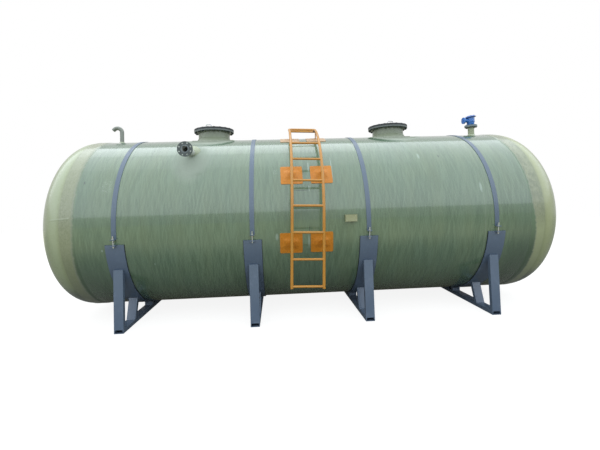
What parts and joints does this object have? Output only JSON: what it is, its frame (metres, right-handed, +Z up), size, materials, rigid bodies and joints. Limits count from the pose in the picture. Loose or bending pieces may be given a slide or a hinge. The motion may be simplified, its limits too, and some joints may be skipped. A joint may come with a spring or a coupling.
{
  "type": "horizontal fiberglass storage tank",
  "caption": "Horizontal filament-wound fiberglass storage tank with dished ends, strapped to steel saddles, with manways, a vent, a breather valve, a side nozzle and a curved access ladder.",
  "frame": {"origin": "middle of the ground under the tank's overall width and length", "axes": "+X along the tank from the vent end to the breather-valve end, -Y towards the ladder, +Z up"},
  "size_m": [7.4126, 2.7388, 3.0234],
  "materials": {
    "wound_frp": "glossy filament-wound resin",
    "moulded_frp": "glossy hand-laid resin",
    "laminate_frp": "glossy hand-laid laminate",
    "neck_frp": "glossy resin",
    "flange_resin": "glossy grey-green resin",
    "dark_flange": "dark satin",
    "galvanised_steel": "galvanised",
    "blue_valve": "gloss enamel on a casting",
    "saddle_paint": "blue-grey paint",
    "liner_rubber": "matte",
    "orange_paint": "orange paint",
    "orange_laminate": "orange laminate"
  },
  "bodies": {
    "root": {"shell": "wound_frp", "left_dome": "moulded_frp", "right_dome": "moulded_frp", "left_joint_band": "laminate_frp", "right_joint_band": "laminate_frp", "left_manway_neck": "neck_frp", "right_manway_neck": "neck_frp", "left_manway_flange": "flange_resin", "right_manway_flange": "flange_resin", "left_manway_cover": "dark_flange", "right_manway_cover": "dark_flange", "manway_handles": "galvanised_steel", "manway_pads": "laminate_frp", "side_nozzle_neck": "neck_frp", "side_nozzle_flange": "dark_flange", "vent_gooseneck": "neck_frp", "nozzle_collars": "laminate_frp", "valve_nozzle_neck": "neck_frp", "valve_nozzle_flange": "flange_resin", "valve_body": "blue_valve", "valve_lid": "blue_valve", "valve_side_port": "blue_valve", "strap_1": "saddle_paint", "strap_2": "saddle_paint", "strap_3": "saddle_paint", "strap_4": "saddle_paint", "strap_bolts": "galvanised_steel", "cradle_1": "saddle_paint", "cradle_2": "saddle_paint", "cradle_3": "saddle_paint", "cradle_4": "saddle_paint", "cradle_liners": "liner_rubber", "base_channel_1": "saddle_paint", "base_channel_2": "saddle_paint", "base_channel_3": "saddle_paint", "base_channel_4": "saddle_paint", "saddle_legs_1": "saddle_paint", "saddle_legs_2": "saddle_paint", "saddle_legs_3": "saddle_paint", "saddle_legs_4": "saddle_paint", "ladder_stiles": "orange_paint", "ladder_rungs": "orange_paint", "ladder_pads": "orange_laminate", "ladder_arms": "orange_paint", "nameplate_bracket": "neck_frp"}
  },
  "joints": []
}
